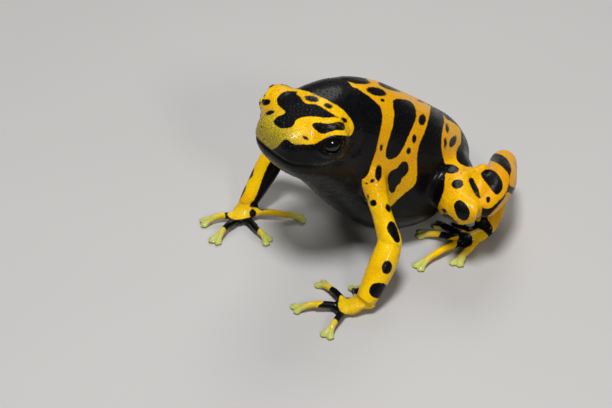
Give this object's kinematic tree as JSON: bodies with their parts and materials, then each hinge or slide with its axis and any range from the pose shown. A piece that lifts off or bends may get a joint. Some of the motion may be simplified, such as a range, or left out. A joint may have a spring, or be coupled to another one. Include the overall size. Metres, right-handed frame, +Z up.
{
  "type": "poison dart frog model",
  "caption": "Life-size still model of a yellow-banded poison dart frog sitting raised on its front legs, standing on flats under its finger and toe discs.",
  "frame": {"origin": "middle of the bounding box, on the floor that the discs under the fingers and toes rest on", "axes": "+Z up, the frog faces -Y, its left side is at +X"},
  "size_m": [0.0294, 0.0352, 0.0229],
  "materials": {
    "head_skin": "moist yellow skin",
    "torso_skin": "moist black skin",
    "eye_left_skin": "wet black eye",
    "eye_right_skin": "wet black eye",
    "upper_arm_left_skin": "moist yellow skin",
    "upper_arm_right_skin": "moist yellow skin",
    "forearm_left_skin": "moist yellow skin",
    "forearm_right_skin": "moist yellow skin",
    "hand_left_skin": "moist yellow skin",
    "hand_right_skin": "moist yellow skin",
    "thigh_left_skin": "moist yellow skin",
    "thigh_right_skin": "moist yellow skin",
    "shank_left_skin": "moist yellow skin",
    "shank_right_skin": "moist yellow skin",
    "tarsus_left_skin": "moist yellow skin",
    "tarsus_right_skin": "moist yellow skin",
    "foot_left_skin": "moist yellow skin",
    "foot_right_skin": "moist yellow skin"
  },
  "bodies": {
    "root": {"head": "head_skin", "torso": "torso_skin", "eye_left": "eye_left_skin", "eye_right": "eye_right_skin", "upper_arm_left": "upper_arm_left_skin", "upper_arm_right": "upper_arm_right_skin", "forearm_left": "forearm_left_skin", "forearm_right": "forearm_right_skin", "hand_left": "hand_left_skin", "hand_right": "hand_right_skin", "thigh_left": "thigh_left_skin", "thigh_right": "thigh_right_skin", "shank_left": "shank_left_skin", "shank_right": "shank_right_skin", "tarsus_left": "tarsus_left_skin", "tarsus_right": "tarsus_right_skin", "foot_left": "foot_left_skin", "foot_right": "foot_right_skin"}
  },
  "joints": []
}
